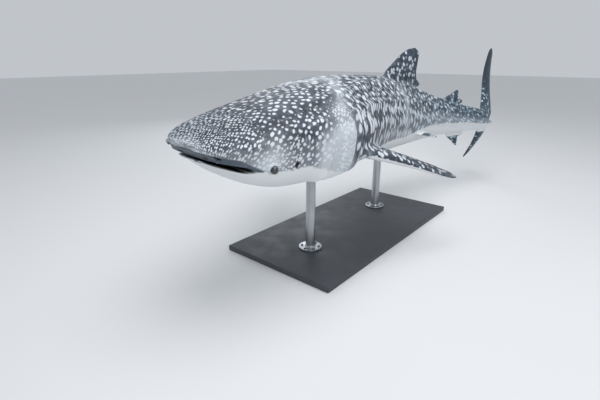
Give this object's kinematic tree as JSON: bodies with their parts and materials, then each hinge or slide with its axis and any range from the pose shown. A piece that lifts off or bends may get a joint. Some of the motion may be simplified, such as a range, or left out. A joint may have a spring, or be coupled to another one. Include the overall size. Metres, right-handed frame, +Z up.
{
  "type": "whale shark model",
  "caption": "Life-size young whale shark swimming, painted museum model on a flat base with steel rods.",
  "frame": {"origin": "middle of the underside of the whole model's box", "axes": "+X from head to tail, +Z up, the animal's left side faces -Y"},
  "size_m": [5.665, 2.016, 1.8305],
  "materials": {
    "skin_head": "painted cast skin, pale spots on grey, satin",
    "skin_jaw": "painted cast skin, pale, satin",
    "skin_gills": "painted cast skin, pale flaps",
    "skin_back": "painted cast skin, pale streaks and bars on slate grey",
    "skin_fins": "painted cast skin, spotted fins",
    "skin_tail_fin": "painted cast skin, dark slate",
    "eyes": "dark glass eye, polished",
    "stand_plate": "black powder coat",
    "stand_rods": "brushed round bar"
  },
  "bodies": {
    "root": {"head": "skin_head", "lower_jaw": "skin_jaw", "gill_region": "skin_gills", "trunk_front": "skin_back", "trunk_rear": "skin_back", "tail_stalk": "skin_back", "first_dorsal_fin": "skin_fins", "second_dorsal_fin": "skin_fins", "anal_fin": "skin_fins", "caudal_upper_lobe": "skin_tail_fin", "caudal_lower_lobe": "skin_tail_fin", "pectoral_fin_left": "skin_fins", "pectoral_fin_right": "skin_fins", "pelvic_fin_left": "skin_fins", "pelvic_fin_right": "skin_fins", "eye_left": "eyes", "eye_right": "eyes", "stand_base": "stand_plate", "stand_rod_front": "stand_rods", "stand_rod_rear": "stand_rods"}
  },
  "joints": []
}
